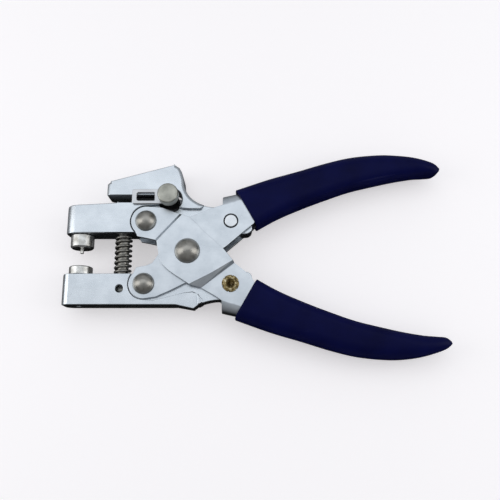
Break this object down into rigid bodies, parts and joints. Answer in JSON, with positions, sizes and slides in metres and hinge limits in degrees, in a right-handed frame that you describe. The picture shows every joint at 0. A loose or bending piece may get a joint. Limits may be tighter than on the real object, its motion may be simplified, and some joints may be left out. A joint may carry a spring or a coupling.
{
  "type": "hole punch pliers",
  "caption": "Parallel-action hole punch pliers with a fixed punch over an anvil, a return spring on a guide rod, crossed channel handles with sleeve grips and a sliding stop.",
  "frame": {"origin": "bottom centre of the bounding box: the middle of the footprint, on the plane the back head of the main rivet rests on", "axes": "+X from the jaws to the grips, +Y from the lower jaw to the upper jaw, +Z out of the front face, along every pivot axis"},
  "size_m": [0.1798, 0.0988, 0.0248],
  "materials": {
    "jaw_plated_steel": "bright nickel plate over milled steel",
    "handle_plated_steel": "bright nickel plate over pressed sheet",
    "rivet_steel": "satin domed rivet heads",
    "bright_pin_steel": "ground flush pin end",
    "aged_brass": "stained split tubular rivet",
    "turned_tool_steel": "turned",
    "spring_steel": "oiled spring steel",
    "slide_plated_steel": "plated sheet",
    "knob_steel": "turned, finely knurled side",
    "navy_vinyl": "dipped satin vinyl sleeve",
    "black_oxide_steel": "black oxide"
  },
  "bodies": {
    "lower_jaw": {"lower_jaw": "jaw_plated_steel", "anvil_die": "turned_tool_steel", "guide_rod": "spring_steel", "guide_rod_lock_pin": "spring_steel", "return_spring": "spring_steel", "lower_front_rivet": "rivet_steel"},
    "upper_handle": {"upper_handle": "handle_plated_steel", "upper_grip": "navy_vinyl", "upper_slide_pin": "bright_pin_steel", "pivot_spacer": "rivet_steel", "main_pivot_rivet": "rivet_steel"},
    "lower_handle": {"lower_handle": "handle_plated_steel", "lower_grip": "navy_vinyl", "lower_slide_pin": "aged_brass"},
    "upper_jaw": {"upper_jaw": "jaw_plated_steel", "upper_front_rivet": "rivet_steel", "punch_body": "turned_tool_steel", "punch_pin": "turned_tool_steel"},
    "stop_slide": {"stop_slide_plate": "slide_plated_steel", "stop_slide_block": "black_oxide_steel", "stop_back_plate": "slide_plated_steel", "stop_nut": "knob_steel"},
    "stop_knob": {"stop_knob": "knob_steel"}
  },
  "joints": [
    {"name": "main_pivot", "type": "hinge", "parent": "upper_handle", "child": "lower_handle", "pos_m": [-0.03135, 0, 0.00995], "axis": [0, 0, 1], "range_deg": [0, 20], "stiffness_Nm_per_rad": 0.45, "springref_deg": -25.78, "deforming": ["return_spring"]},
    {"name": "lower_jaw_pin", "type": "hinge", "parent": "lower_jaw", "child": "upper_handle", "pos_m": [-0.05135, -0.015, 0.00995], "axis": [0, 0, 1], "range_deg": [-10, 0]},
    {"name": "upper_jaw_pin", "type": "hinge", "parent": "lower_handle", "child": "upper_jaw", "pos_m": [-0.05135, 0.015, 0.00995], "axis": [0, 0, 1], "range_deg": [-10, 0]},
    {"name": "stop_slide_travel", "type": "slide", "parent": "upper_jaw", "child": "stop_slide", "axis": [-1, 0, 0], "range_m": [0, 0.008]},
    {"name": "stop_knob_turn", "type": "hinge", "parent": "stop_slide", "child": "stop_knob", "pos_m": [-0.04045, 0.026, 0.01795], "axis": [0, 0, 1], "range_deg": [-90, 90]}
  ],
  "couplings": [
    {"joint": "lower_jaw_pin", "follows": "main_pivot", "ratio": -0.5},
    {"joint": "upper_jaw_pin", "follows": "main_pivot", "ratio": -0.5}
  ]
}
